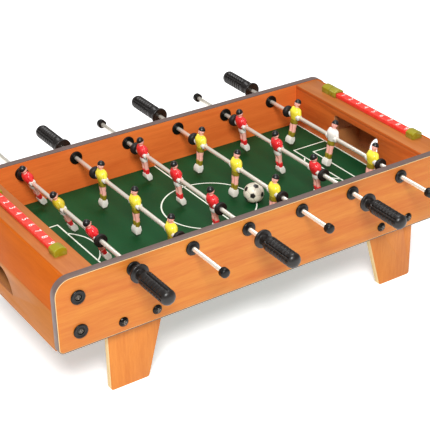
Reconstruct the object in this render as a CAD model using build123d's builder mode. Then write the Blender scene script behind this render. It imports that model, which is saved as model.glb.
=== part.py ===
"""Tabletop foosball table: wooden case on four tapered legs, six player rods, two score rails and a ball.

Millimetres. X runs along the table, Y across it and Z up. The origin is on the floor at the table's centre.
The left end is -X, the front is -Y. Rods are numbered 1 to 6 from left to right.
"""

from build123d import *
import os
from math import cos, radians, sin

# ---------------------------------------------------------------- case
LENGTH = 686.0
WIDTH = 343.5
PANEL_THICK = 11.2
PANEL_BOTTOM = 95.6
PANEL_TOP = 206.0
TOP_CORNER_R = 25.0
BOTTOM_CORNER_R = 8.0
BAND_THICK = 1.0
INNER_Y = WIDTH / 2 - PANEL_THICK

# ---------------------------------------------------------------- playfield and ends
FIELD_TOP = 134.0
FIELD_THICK = 4.0
FIELD_GROOVE = 3.0
GOAL_LINE_X = 280.0
GOAL_WALL_THICK = 9.0
GOAL_WALL_BOTTOM = 112.0
GOAL_WIDTH = 110.0
GOAL_TOP = 189.0
GOAL_CORNER_R = 6.0
LEDGE_TOP = 204.5
LEDGE_THICK = 6.0
LEDGE_END_X = 325.5
END_X = 342.0
SLANT_BOTTOM = 155.5
SLANT_SPAN_X = 3.7
END_BOARD_THICK = 3.5
END_BOARD_BOTTOM = 96.0
ARCH_HALF_WIDTH = 36.0
ARCH_BOTTOM = 117.0
ARCH_TOP = 148.5
TROUGH_FLOOR_TOP = 116.0
TROUGH_HALF_WIDTH = 60.0
TROUGH_WALL = 4.0
TROUGH_TOP = 155.0

# ---------------------------------------------------------------- legs and fasteners
LEG_THICK = 10.0
LEG_OUTER_X = 266.0
LEG_FOOT_INNER_X = 206.5
LEG_INNER_LEAN = 0.268
LEG_TOP = 128.0
LEG_CORNER_R = 4.0
BOLT_X = (194.9, 246.8)
BOLT_Z = 112.0
BOLT_HEAD_R = 7.25
BOLT_HEAD_H = 4.0
BOLT_SHANK_R = 3.0
NUT_R = 5.8
NUT_THICK = 5.0
BOLT_TAIL = 2.0
CORNER_X = 310.0
CORNER_Z = (122.0, 174.0)
WASHER_R = 10.5
WASHER_HOLE_R = 4.6
WASHER_THICK = 2.6
WASHER_CHAMFER = 0.9
SCREW_HEAD_R = 4.4
SCREW_HEAD_H = 1.8
SCREW_R = 2.0
SCREW_LENGTH = 26.0
GLUE_BLOCK_SIZE = (28.0, 20.0, 84.0)
GLUE_BLOCK_BOTTOM = 106.0

# ---------------------------------------------------------------- rods
ROD_COUNT = 6
ROD_PITCH = 91.0
ROD_Z = 188.0
ROD_R = 3.2
ROD_BORE_R = 2.4
RUNNING_CLEARANCE = 0.05
MAN_PITCH = 98.5
# where each rod's middle man stands, and how far its men's feet swing towards +X, in degrees
ROD_REST_Y = (35.0, -20.0, 16.4, -6.4, 15.0, -7.2)
ROD_FEET_TILT = (23.0, 0.0, 8.5, -6.5, 8.5, -13.0)
BUSHING_INNER_Y = 158.2
BUSHING_FLANGE_R = 10.5
BUSHING_FLANGE_THICK = 3.0
BUSHING_HUB_R = 6.4
BUSHING_HUB_LENGTH = 2.0
BUSHING_BARREL_R = 6.0
BUSHING_NUT_R = 10.2
BUMPER_FROM_MAN = 15.0
BUMPER_DOME = ((0.0, 6.5), (2.2, 9.1), (4.0, 9.7), (7.2, 9.7), (8.0, 8.9))
CAP_START = 225.0
CAP_LENGTH = 10.0
CAP_TIP = ((0.0, 6.4), (0.6, 7.0), (7.0, 7.0), (9.2, 5.4), (10.0, 3.4))
ROD_CAP_END = 231.0
ROD_HANDLE_END = 290.0
HANDLE_START = 221.0
HANDLE_FLANGE_R = 13.8
HANDLE_FLANGE_THICK = 4.0
HANDLE_NECK_R = 8.0
HANDLE_NECK_END = 233.0
HANDLE_BODY_START = 239.0
HANDLE_R = 11.0
HANDLE_DOME_START = 293.0
HANDLE_DOME_STEPS = ((298.0, 7.9), (300.0, 4.4))
HANDLE_END = 300.0
HANDLE_ROUNDING = 1.0
FLUTE_R = 1.6
FLUTE_ANGLES = [45 + 90 * quarter + half for quarter in range(4) for half in (-12, 12)]

# ---------------------------------------------------------------- players
# heights are from the rod's axis; outlines are (across or forward, height) pairs
HEAD_CENTRE_Z = 21.3
HEAD_HALF_SIZE = (5.5, 6.9)
HEAD_TOP_Z = HEAD_CENTRE_Z + HEAD_HALF_SIZE[1]
SHOULDER_LINE = ((7.4, 13.0), (11.4, 6.5), (9.4, -3.0))
HIP = (7.2, -12.0)
TORSO_SIZE = (14.0, 24.0)
BOSS_R = 5.2
BOSS_HALF_WIDTH = 13.0
THIGH_SIZE = (10.0, 14.0)
THIGH_Z = -8.0
ANKLE_SIZE = (6.6, 11.0)
ANKLE_Z = -37.0
BOOT_WIDTH = 13.5
BOOT_OUTLINE = (
    (-3.8, -35.5),
    (3.6, -35.5),
    (5.6, -41.5),
    (4.6, -47.0),
    (-1.5, -47.0),
    (-4.4, -41.5),
)

# ---------------------------------------------------------------- scoring and ball
SCORE_X = {-1: -302.0, 1: 308.5}
RAIL_WIDTH = 12.0
RAIL_HEIGHT = 7.0
RAIL_HALF_LENGTH = 98.0
BLOCK_WIDTH = 18.0
BLOCK_LENGTH = 17.0
BLOCK_SHOULDER = 8.5
BLOCK_HEIGHT = 12.0
BLOCK_EDGE_R = 0.8
SLIDER_REST_Y = 88.5
SLIDER_CLEARANCE = 0.2
BALL_R = 15.7
BALL_X = 61.0
BALL_Y = -30.4

ROD_X = [(i - (ROD_COUNT - 1) / 2) * ROD_PITCH for i in range(ROD_COUNT)]
CROSSWISE = (90, 0, 0)
SIDES = {"front": -1, "rear": 1}
ENDS = {"left": -1, "right": 1}


def save(piece, label):
    """Label a finished piece and write its STEP file."""
    piece.part.label = label
    export_step(piece.part, f"parts/{label}.step")


def slab_plane(y_high):
    """Drawing plane at y_high, X to the right and Z up, whose extrusions run towards -Y."""
    return Plane.XZ.offset(-y_high)


def panel_face(inset):
    """The rounded outline of a side panel as a face, drawn in by inset on every edge."""
    half = LENGTH / 2 - inset
    low, high = PANEL_BOTTOM + inset, PANEL_TOP - inset
    bottom_r, top_r = BOTTOM_CORNER_R - inset, TOP_CORNER_R - inset
    with BuildSketch() as face:
        with BuildLine():
            FilletPolyline(
                (-half, low),
                (half, low),
                (half, high),
                (-half, high),
                radius=[bottom_r, bottom_r, top_r, top_r],
                close=True,
            )
        make_face()
    return face.sketch


def mirrored(points, end):
    """Points of a profile drawn for the right end, carried to either end."""
    return [(end * x, z) for x, z in points]


def board(points, end, label):
    """A board across the case between the side panels, from its profile in X and Z."""
    with BuildPart() as piece:
        with BuildSketch(slab_plane(INNER_Y)):
            with BuildLine():
                Polyline(*mirrored(points, end), close=True)
            make_face()
        extrude(amount=2 * INNER_Y)
    save(piece, label)


# ================================================================ side panels
def side_panel(side, label):
    with BuildPart() as piece:
        plane = slab_plane(INNER_Y + PANEL_THICK if side > 0 else -INNER_Y)
        with BuildSketch(plane):
            add(panel_face(BAND_THICK))
            with Locations(*[(x, ROD_Z) for x in ROD_X]):
                Circle(BUSHING_BARREL_R, mode=Mode.SUBTRACT)
            with Locations(*[(end * x, BOLT_Z) for end in (-1, 1) for x in BOLT_X]):
                Circle(BOLT_SHANK_R, mode=Mode.SUBTRACT)
            with Locations(*[(end * CORNER_X, z) for end in (-1, 1) for z in CORNER_Z]):
                Circle(SCREW_R, mode=Mode.SUBTRACT)
        extrude(amount=PANEL_THICK)
        with Locations((0, side * (INNER_Y + FIELD_GROOVE / 2), FIELD_TOP - FIELD_THICK / 2)):
            Box(2 * GOAL_LINE_X, FIELD_GROOVE, FIELD_THICK, mode=Mode.SUBTRACT)
    save(piece, label)


def edge_band(side, label):
    with BuildPart() as piece:
        with BuildSketch(slab_plane(INNER_Y + PANEL_THICK if side > 0 else -INNER_Y)):
            add(panel_face(0))
            add(panel_face(BAND_THICK), mode=Mode.SUBTRACT)
        extrude(amount=PANEL_THICK)
    save(piece, label)


# ================================================================ playfield and ends
def playfield():
    with BuildPart() as piece:
        with Locations((0, 0, FIELD_TOP)):
            Box(
                2 * GOAL_LINE_X,
                2 * (INNER_Y + FIELD_GROOVE),
                FIELD_THICK,
                align=(Align.CENTER, Align.CENTER, Align.MAX),
            )
    save(piece, "playfield")


def goal_wall(end, label):
    height = LEDGE_TOP - LEDGE_THICK - GOAL_WALL_BOTTOM
    opening = GOAL_TOP - FIELD_TOP
    with BuildPart() as piece:
        with Locations((end * (GOAL_LINE_X + GOAL_WALL_THICK / 2), 0, GOAL_WALL_BOTTOM)):
            Box(
                GOAL_WALL_THICK,
                2 * INNER_Y,
                height,
                align=(Align.CENTER, Align.CENTER, Align.MIN),
            )
        with BuildSketch(Plane.YZ.offset(end * GOAL_LINE_X)):
            with Locations((0, FIELD_TOP + opening / 2)):
                RectangleRounded(GOAL_WIDTH, opening, GOAL_CORNER_R)
        extrude(amount=end * GOAL_WALL_THICK, mode=Mode.SUBTRACT)
    save(piece, label)


def end_structure(end, name):
    """Ledge, slanting board, goal wall and end board of one end."""
    ledge_bottom = LEDGE_TOP - LEDGE_THICK
    ledge_end = LEDGE_END_X - SLANT_SPAN_X
    slope = (END_X - LEDGE_END_X) / (LEDGE_TOP - SLANT_BOTTOM)
    board(
        [
            (GOAL_LINE_X, LEDGE_TOP),
            (ledge_end, LEDGE_TOP),
            (ledge_end + slope * LEDGE_THICK, ledge_bottom),
            (GOAL_LINE_X, ledge_bottom),
        ],
        end,
        f"{name}_ledge",
    )
    board(
        [
            (ledge_end, LEDGE_TOP),
            (LEDGE_END_X, LEDGE_TOP),
            (END_X, SLANT_BOTTOM),
            (END_X - SLANT_SPAN_X, SLANT_BOTTOM),
        ],
        end,
        f"{name}_slant_board",
    )
    goal_wall(end, f"{name}_goal_wall")
    end_board(end, f"{name}_end_board")


def end_board(end, label):
    """Outer end board with the arched hole where the ball comes out."""
    with BuildPart() as piece:
        with Locations((end * (END_X - END_BOARD_THICK / 2), 0, END_BOARD_BOTTOM)):
            Box(
                END_BOARD_THICK,
                2 * INNER_Y,
                SLANT_BOTTOM - END_BOARD_BOTTOM,
                align=(Align.CENTER, Align.CENTER, Align.MIN),
            )
        with BuildSketch(Plane.YZ.offset(end * END_X)):
            with BuildLine():
                Polyline((-ARCH_HALF_WIDTH, ARCH_BOTTOM), (ARCH_HALF_WIDTH, ARCH_BOTTOM))
                ThreePointArc(
                    (ARCH_HALF_WIDTH, ARCH_BOTTOM), (0, ARCH_TOP), (-ARCH_HALF_WIDTH, ARCH_BOTTOM)
                )
            make_face()
        extrude(amount=-end * END_BOARD_THICK, mode=Mode.SUBTRACT)
    save(piece, label)


def ball_troughs():
    """Trays behind the goals that catch the ball and lead it to the arched holes."""
    inner_x = GOAL_LINE_X + GOAL_WALL_THICK
    length = END_X - END_BOARD_THICK - inner_x
    with BuildPart() as piece:
        with Locations(*[(end * (inner_x + length / 2), 0, GOAL_WALL_BOTTOM) for end in (-1, 1)]):
            Box(
                length,
                2 * (TROUGH_HALF_WIDTH + TROUGH_WALL),
                TROUGH_TOP - GOAL_WALL_BOTTOM,
                align=(Align.CENTER, Align.CENTER, Align.MIN),
            )
        with Locations(*[(end * (inner_x + length / 2), 0, TROUGH_FLOOR_TOP) for end in (-1, 1)]):
            Box(
                length,
                2 * TROUGH_HALF_WIDTH,
                TROUGH_TOP - TROUGH_FLOOR_TOP,
                align=(Align.CENTER, Align.CENTER, Align.MIN),
                mode=Mode.SUBTRACT,
            )
    save(piece, "ball_troughs")


def corner_blocks():
    """Glue blocks behind the side panels, which the corner screws bite into."""
    reach = SCREW_LENGTH - PANEL_THICK
    with BuildPart() as piece:
        for side in SIDES.values():
            for end in ENDS.values():
                with Locations((end * CORNER_X, side * INNER_Y, GLUE_BLOCK_BOTTOM)):
                    Box(
                        *GLUE_BLOCK_SIZE,
                        align=(Align.CENTER, Align.MAX if side > 0 else Align.MIN, Align.MIN),
                    )
                for z in CORNER_Z:
                    with Locations((end * CORNER_X, side * (INNER_Y - reach / 2), z)):
                        Cylinder(
                            SCREW_R + RUNNING_CLEARANCE,
                            reach,
                            rotation=CROSSWISE,
                            mode=Mode.SUBTRACT,
                        )
    save(piece, "corner_blocks")


# ================================================================ legs and fasteners
def leg(side, end, label):
    with BuildPart() as piece:
        with BuildSketch(slab_plane(INNER_Y if side > 0 else LEG_THICK - INNER_Y)):
            with BuildLine():
                FilletPolyline(
                    *mirrored(
                        [
                            (LEG_OUTER_X, 0),
                            (LEG_OUTER_X, LEG_TOP),
                            (LEG_FOOT_INNER_X - LEG_INNER_LEAN * LEG_TOP, LEG_TOP),
                            (LEG_FOOT_INNER_X, 0),
                        ],
                        end,
                    ),
                    radius=LEG_CORNER_R,
                    close=True,
                )
            make_face()
            with Locations(*[(end * x, BOLT_Z) for x in BOLT_X]):
                Circle(BOLT_SHANK_R, mode=Mode.SUBTRACT)
        extrude(amount=LEG_THICK)
    save(piece, label)


def outward(x, y, z, side):
    """Plane at a point on a side panel, facing away from the table's middle."""
    return Plane(origin=(x, y, z), x_dir=(1, 0, 0), z_dir=(0, side, 0))


def leg_bolts():
    reach = PANEL_THICK + LEG_THICK + NUT_THICK + BOLT_TAIL
    cap_sphere_r = (BOLT_HEAD_R**2 + BOLT_HEAD_H**2) / (2 * BOLT_HEAD_H)
    with BuildPart() as piece:
        for side in SIDES.values():
            for x in BOLT_X + tuple(-x for x in BOLT_X):
                plane = outward(x, side * WIDTH / 2, BOLT_Z, side)
                with BuildSketch(Plane(plane.origin, x_dir=(1, 0, 0), z_dir=(0, 0, side))):
                    with BuildLine():
                        Line((0, -reach), (0, BOLT_HEAD_H))
                        RadiusArc((0, BOLT_HEAD_H), (BOLT_HEAD_R, 0), cap_sphere_r)
                        Polyline(
                            (BOLT_HEAD_R, 0), (BOLT_SHANK_R, 0), (BOLT_SHANK_R, -reach), (0, -reach)
                        )
                    make_face()
                revolve(axis=Axis(plane.origin, plane.z_dir))
    save(piece, "leg_bolts")


def leg_nuts():
    with BuildPart() as piece:
        for side in SIDES.values():
            for x in BOLT_X + tuple(-x for x in BOLT_X):
                with BuildSketch(outward(x, side * (INNER_Y - LEG_THICK - NUT_THICK), BOLT_Z, side)):
                    RegularPolygon(NUT_R, 6)
                    Circle(BOLT_SHANK_R + RUNNING_CLEARANCE, mode=Mode.SUBTRACT)
                extrude(amount=NUT_THICK)
    save(piece, "leg_nuts")


def corner_washers():
    with BuildPart() as piece:
        for side in SIDES.values():
            for end in ENDS.values():
                for z in CORNER_Z:
                    with BuildSketch(outward(end * CORNER_X, side * WIDTH / 2, z, side)):
                        Circle(WASHER_R)
                        Circle(WASHER_HOLE_R, mode=Mode.SUBTRACT)
                    extrude(amount=WASHER_THICK)
        rims = piece.edges().filter_by(GeomType.CIRCLE).group_by(lambda e: abs(e.center().Y))[-1]
        chamfer([rim for rim in rims if rim.radius > WASHER_HOLE_R + 1], WASHER_CHAMFER)
    save(piece, "corner_washers")


def corner_screws():
    with BuildPart() as piece:
        for side in SIDES.values():
            for end in ENDS.values():
                for z in CORNER_Z:
                    with BuildSketch(outward(end * CORNER_X, side * WIDTH / 2, z, side)):
                        Circle(SCREW_HEAD_R)
                    extrude(amount=SCREW_HEAD_H)
                    with BuildSketch(outward(end * CORNER_X, side * WIDTH / 2, z, side)):
                        Circle(SCREW_R)
                    extrude(amount=-SCREW_LENGTH)
    save(piece, "corner_screws")


# ================================================================ rods
def rod_frame(index, from_man, handle):
    """Plane at a distance from the middle man of a rod, looking along it to its handle."""
    y = ROD_REST_Y[index] + handle * from_man
    return Plane(origin=(ROD_X[index], y, ROD_Z), x_dir=(1, 0, 0), z_dir=(0, handle, 0))


def rod_profile(index, handle, points):
    """Face beside a rod's axis, from (distance from the middle man, radius) points."""
    origin = (ROD_X[index], ROD_REST_Y[index], ROD_Z)
    with BuildSketch(Plane(origin, x_dir=(0, handle, 0), z_dir=(1, 0, 0))) as face:
        with BuildLine():
            Polyline(*points, close=True)
        make_face()
    return face.sketch


def rod_axis(index):
    return Axis((ROD_X[index], 0, ROD_Z), (0, 1, 0))


def rod_tube(index, handle, label):
    with BuildPart() as piece:
        with BuildSketch(rod_frame(index, -ROD_CAP_END, handle)):
            Circle(ROD_R)
            Circle(ROD_BORE_R, mode=Mode.SUBTRACT)
        extrude(amount=ROD_CAP_END + ROD_HANDLE_END)
    save(piece, label)


def rod_handle(index, handle, label):
    """Plastic grip: flange, narrow neck, then a fluted body that closes in a dome."""
    flange_end = HANDLE_START + HANDLE_FLANGE_THICK
    with BuildPart() as piece:
        grip = rod_profile(
            index,
            handle,
            [
                (HANDLE_START, 0),
                (HANDLE_START, HANDLE_FLANGE_R - HANDLE_ROUNDING),
                (HANDLE_START + HANDLE_ROUNDING, HANDLE_FLANGE_R),
                (flange_end - HANDLE_ROUNDING, HANDLE_FLANGE_R),
                (flange_end, HANDLE_FLANGE_R - HANDLE_ROUNDING),
                (flange_end, HANDLE_NECK_R),
                (HANDLE_NECK_END, HANDLE_NECK_R),
                (HANDLE_BODY_START, HANDLE_R),
                (HANDLE_DOME_START, HANDLE_R),
                *HANDLE_DOME_STEPS,
                (HANDLE_END, 0),
            ],
        )
        revolve(grip, axis=rod_axis(index))
        with BuildSketch(rod_frame(index, HANDLE_BODY_START, handle)):
            for angle in FLUTE_ANGLES:
                with Locations(
                    (HANDLE_R * cos(radians(angle)), HANDLE_R * sin(radians(angle)))
                ):
                    Circle(FLUTE_R)
        extrude(amount=HANDLE_DOME_START - HANDLE_BODY_START, mode=Mode.SUBTRACT)
        with BuildSketch(rod_frame(index, HANDLE_START, handle)):
            Circle(ROD_R)
        extrude(amount=ROD_HANDLE_END - HANDLE_START, mode=Mode.SUBTRACT)
    save(piece, label)


def rod_end_cap(index, handle, label):
    with BuildPart() as piece:
        cap = rod_profile(
            index,
            -handle,
            [
                (CAP_START, ROD_R),
                *[(CAP_START + along, radius) for along, radius in CAP_TIP],
                (CAP_START + CAP_LENGTH, 0),
                (ROD_CAP_END, 0),
                (ROD_CAP_END, ROD_R),
            ],
        )
        revolve(cap, axis=rod_axis(index))
    save(piece, label)


def rod_bumpers(index, label):
    """Rubber stops outside the outer men, which meet the bushings at the ends of the travel."""
    inner = MAN_PITCH + BUMPER_FROM_MAN
    outer = inner + BUMPER_DOME[-1][0]
    bore = ROD_R + RUNNING_CLEARANCE
    with BuildPart() as piece:
        for way in (-1, 1):
            stop = rod_profile(
                index,
                way,
                [
                    (inner, bore),
                    *[(inner + along, radius) for along, radius in BUMPER_DOME],
                    (outer, bore),
                ],
            )
            revolve(stop, axis=rod_axis(index))
    save(piece, label)


def man():
    """One player about the rod's axis, standing upright and facing +X."""
    with BuildPart() as body:
        with BuildSketch(Plane.XZ):
            with BuildLine():
                Line((0, HIP[1]), (0, HEAD_TOP_Z))
                head = EllipticalCenterArc(
                    (0, HEAD_CENTRE_Z), *HEAD_HALF_SIZE, start_angle=-60, arc_size=150
                )
                Spline(head @ 0, *SHOULDER_LINE, HIP)
                Line(HIP, (0, HIP[1]))
            make_face()
        revolve(axis=Axis.Z)
        with Locations((0, 0, HEAD_TOP_Z)):
            Box(
                *TORSO_SIZE,
                HEAD_TOP_Z - HIP[1],
                align=(Align.CENTER, Align.CENTER, Align.MAX),
                mode=Mode.INTERSECT,
            )
        with BuildSketch(Plane.XY.offset(THIGH_Z)):
            Rectangle(*THIGH_SIZE)
        with BuildSketch(Plane.XY.offset(ANKLE_Z)):
            Rectangle(*ANKLE_SIZE)
        loft()
        with BuildSketch(slab_plane(BOOT_WIDTH / 2)):
            with BuildLine():
                Polyline(*BOOT_OUTLINE, close=True)
            make_face()
        extrude(amount=BOOT_WIDTH)
        Cylinder(BOSS_R, 2 * BOSS_HALF_WIDTH, rotation=CROSSWISE)
        Cylinder(ROD_R, 2 * BOSS_HALF_WIDTH, rotation=CROSSWISE, mode=Mode.SUBTRACT)
    return body.part


def rod_men(index, handle, player, label):
    """The three players of one rod. Rods with a front handle face +X, the others face -X."""
    heading = 0 if handle < 0 else 180
    with BuildPart() as piece:
        for step in (-1, 0, 1):
            y = ROD_REST_Y[index] + step * MAN_PITCH
            with Locations(
                Location((ROD_X[index], y, ROD_Z), (0, -ROD_FEET_TILT[index], heading))
            ):
                add(player)
    save(piece, label)


def bushing_profile(outline, label):
    """Turn one ring at every place where a rod passes through a side panel."""
    with BuildPart() as piece:
        for side in SIDES.values():
            for x in ROD_X:
                origin = (x, 0, ROD_Z)
                with BuildSketch(Plane(origin, x_dir=(0, side, 0), z_dir=(1, 0, 0))):
                    with BuildLine():
                        Polyline(*outline, close=True)
                    make_face()
                revolve(axis=Axis(origin, (0, side, 0)))
    save(piece, label)


def bushings():
    bore = ROD_R + RUNNING_CLEARANCE
    face = WIDTH / 2
    bushing_profile(
        [
            (BUSHING_INNER_Y, bore),
            (BUSHING_INNER_Y, BUSHING_BARREL_R),
            (face, BUSHING_BARREL_R),
            (face, BUSHING_FLANGE_R),
            (face + BUSHING_FLANGE_THICK - 0.8, BUSHING_FLANGE_R),
            (face + BUSHING_FLANGE_THICK, BUSHING_FLANGE_R - 0.8),
            (face + BUSHING_FLANGE_THICK, BUSHING_HUB_R),
            (face + BUSHING_FLANGE_THICK + BUSHING_HUB_LENGTH, BUSHING_HUB_R),
            (face + BUSHING_FLANGE_THICK + BUSHING_HUB_LENGTH, bore),
        ],
        "rod_bushings",
    )
    thread = BUSHING_BARREL_R + RUNNING_CLEARANCE
    bushing_profile(
        [
            (BUSHING_INNER_Y, thread),
            (BUSHING_INNER_Y, BUSHING_NUT_R - 0.5),
            (BUSHING_INNER_Y + 0.5, BUSHING_NUT_R),
            (INNER_Y, BUSHING_NUT_R),
            (INNER_Y, thread),
        ],
        "bushing_nuts",
    )


# ================================================================ scoring and ball
def score_rails():
    with BuildPart() as piece:
        with Locations(*[(x, 0, LEDGE_TOP) for x in SCORE_X.values()]):
            Box(
                RAIL_WIDTH,
                2 * RAIL_HALF_LENGTH,
                RAIL_HEIGHT,
                align=(Align.CENTER, Align.CENTER, Align.MIN),
            )
    save(piece, "score_rails")


def block_face(bottom):
    """Arch-topped cross-section shared by the end blocks and the sliders, in X and Z."""
    half = BLOCK_WIDTH / 2
    with BuildSketch() as face:
        with BuildLine():
            Polyline((-half, BLOCK_SHOULDER), (-half, bottom), (half, bottom), (half, BLOCK_SHOULDER))
            ThreePointArc((half, BLOCK_SHOULDER), (0, BLOCK_HEIGHT), (-half, BLOCK_SHOULDER))
        make_face()
    return face.sketch


def score_end_blocks():
    with BuildPart() as piece:
        for x in SCORE_X.values():
            for y_high in (-RAIL_HALF_LENGTH, RAIL_HALF_LENGTH + BLOCK_LENGTH):
                with BuildSketch(Plane((x, y_high, LEDGE_TOP), x_dir=(1, 0, 0), z_dir=(0, -1, 0))):
                    add(block_face(0))
                extrude(amount=BLOCK_LENGTH)
        fillet(piece.faces().filter_by(Axis.Z, reverse=True).edges().group_by(Axis.Z)[-1], BLOCK_EDGE_R)
    save(piece, "score_end_blocks")


def score_slider(end, label):
    """Marker that straddles a score rail and slides along it."""
    y_high = SLIDER_REST_Y + BLOCK_LENGTH / 2
    slot_width = RAIL_WIDTH + 2 * SLIDER_CLEARANCE
    slot_height = RAIL_HEIGHT + 2 * SLIDER_CLEARANCE
    with BuildPart() as piece:
        with BuildSketch(Plane((SCORE_X[end], y_high, LEDGE_TOP), x_dir=(1, 0, 0), z_dir=(0, -1, 0))):
            add(block_face(SLIDER_CLEARANCE))
            with Locations((0, slot_height / 2)):
                Rectangle(slot_width, slot_height, mode=Mode.SUBTRACT)
        extrude(amount=BLOCK_LENGTH)
    save(piece, label)


def ball():
    with BuildPart() as piece:
        with Locations((BALL_X, BALL_Y, FIELD_TOP + BALL_R)):
            Sphere(BALL_R)
    save(piece, "ball")


# ================================================================ assembly
os.makedirs("parts", exist_ok=True)

for side_name, side in SIDES.items():
    side_panel(side, f"{side_name}_side_panel")
    edge_band(side, f"{side_name}_edge_band")
    for end_name, end in ENDS.items():
        leg(side, end, f"{side_name}_{end_name}_leg")

for end_name, end in ENDS.items():
    end_structure(end, end_name)
    score_slider(end, f"{end_name}_score_slider")

playfield()
ball_troughs()
corner_blocks()
leg_bolts()
leg_nuts()
corner_washers()
corner_screws()
bushings()
score_rails()
score_end_blocks()
ball()

player = man()
for index in range(ROD_COUNT):
    rod = f"rod_{index + 1}"
    handle = -1 if index % 2 == 0 else 1
    rod_tube(index, handle, f"{rod}_tube")
    rod_handle(index, handle, f"{rod}_handle")
    rod_end_cap(index, handle, f"{rod}_end_cap")
    rod_bumpers(index, f"{rod}_bumpers")
    rod_men(index, handle, player, f"{rod}_men")
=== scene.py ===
from math import acos, atan2, cos, degrees, pi, radians, sin

import bmesh
import bpy
from mathutils import Matrix, Vector


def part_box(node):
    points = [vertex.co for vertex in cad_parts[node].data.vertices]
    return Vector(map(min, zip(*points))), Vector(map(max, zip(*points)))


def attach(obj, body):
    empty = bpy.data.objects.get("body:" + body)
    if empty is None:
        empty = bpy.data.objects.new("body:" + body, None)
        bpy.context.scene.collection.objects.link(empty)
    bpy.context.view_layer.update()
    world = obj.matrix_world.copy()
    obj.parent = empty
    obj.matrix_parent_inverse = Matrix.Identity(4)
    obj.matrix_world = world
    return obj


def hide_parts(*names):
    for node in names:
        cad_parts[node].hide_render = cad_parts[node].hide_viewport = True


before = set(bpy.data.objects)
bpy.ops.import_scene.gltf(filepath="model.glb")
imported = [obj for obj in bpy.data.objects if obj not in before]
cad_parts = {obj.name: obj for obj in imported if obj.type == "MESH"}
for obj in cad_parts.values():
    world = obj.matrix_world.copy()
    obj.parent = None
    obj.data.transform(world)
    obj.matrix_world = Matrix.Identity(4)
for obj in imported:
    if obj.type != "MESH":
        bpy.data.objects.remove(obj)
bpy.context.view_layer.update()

# Shapes are worked in millimetres, and place() turns them into metres.
# X runs along the table, -Y is the front long side and Z is up, as in the frame.
TO_METRES = Matrix.Scale(0.001, 4)
TO_MILLIMETRES = Matrix.Scale(1000, 4)


def span(node):
    """Lowest and highest corner of a CAD part, in millimetres."""
    low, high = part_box(node)
    return Vector(low) * 1000, Vector(high) * 1000


# ---------------------------------------------------------------- camera
CAMERA_TURN, CAMERA_RISE = radians(-35.23), radians(28.74)
CAMERA_TARGET = Vector((0.06918, -0.05627, 0.130))
CAMERA_DISTANCE = 1.9461
CAMERA_LENS = 108.2
CAMERA_SHIFT = (-0.1235, -0.0131)


def add_camera():
    away = Vector((sin(CAMERA_TURN) * cos(CAMERA_RISE), -cos(CAMERA_TURN) * cos(CAMERA_RISE),
                   sin(CAMERA_RISE)))
    camera = bpy.data.objects.new("camera", bpy.data.cameras.new("camera"))
    bpy.context.scene.collection.objects.link(camera)
    camera.location = CAMERA_TARGET + away * CAMERA_DISTANCE
    camera.rotation_mode = "QUATERNION"
    camera.rotation_quaternion = (-away).to_track_quat("-Z", "Y")
    camera.data.sensor_width = 36
    camera.data.lens = CAMERA_LENS
    camera.data.shift_x, camera.data.shift_y = CAMERA_SHIFT
    bpy.context.scene.camera = camera


add_camera()


# ---------------------------------------------------------------- shared surface effects
def paint(code):
    """A colour from its #rrggbb code, as linear light."""
    parts = [int(code[i:i + 2], 16) / 255 for i in (1, 3, 5)]
    linear = [p / 12.92 if p <= 0.04045 else ((p + 0.055) / 1.055) ** 2.4 for p in parts]
    return (*linear, 1.0)


def new_group(name, inputs, outputs):
    tree = bpy.data.node_groups.new(name, "ShaderNodeTree")
    kinds = {"value": "NodeSocketFloat", "colour": "NodeSocketColor", "vector": "NodeSocketVector"}
    for label, kind, start in inputs:
        socket = tree.interface.new_socket(label, in_out="INPUT", socket_type=kinds[kind])
        if start is not None:
            socket.default_value = start
    for label, kind in outputs:
        tree.interface.new_socket(label, in_out="OUTPUT", socket_type=kinds[kind])
    return tree, tree.nodes.new("NodeGroupInput"), tree.nodes.new("NodeGroupOutput")


def add_noise(tree, vector, scale, detail=4.0, rough=0.55, distortion=0.0):
    noise = tree.nodes.new("ShaderNodeTexNoise")
    noise.inputs["Scale"].default_value = scale
    noise.inputs["Detail"].default_value = detail
    noise.inputs["Roughness"].default_value = rough
    noise.inputs["Distortion"].default_value = distortion
    tree.links.new(vector, noise.inputs["Vector"])
    return noise.outputs["Fac"]


def add_range(tree, value, low, high, to_low=0.0, to_high=1.0):
    node = tree.nodes.new("ShaderNodeMapRange")
    tree.links.new(value, node.inputs["Value"])
    for label, number in (("From Min", low), ("From Max", high)):
        node.inputs[label].default_value = number
    for label, number in (("To Min", to_low), ("To Max", to_high)):
        if isinstance(number, float):
            node.inputs[label].default_value = number
        else:
            tree.links.new(number, node.inputs[label])
    return node.outputs["Result"]


def add_math(tree, kind, first, second):
    node = tree.nodes.new("ShaderNodeMath")
    node.operation = kind
    for socket, value in zip(node.inputs, (first, second)):
        if isinstance(value, float):
            socket.default_value = value
        else:
            tree.links.new(value, socket)
    return node.outputs["Value"]


def add_mix(tree, share, first, second):
    node = tree.nodes.new("ShaderNodeMix")
    node.data_type = "RGBA"
    for socket, value in ((node.inputs[0], share), (node.inputs[6], first), (node.inputs[7], second)):
        if isinstance(value, (float, tuple)):
            socket.default_value = value
        else:
            tree.links.new(value, socket)
    return node.outputs[2]


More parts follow.
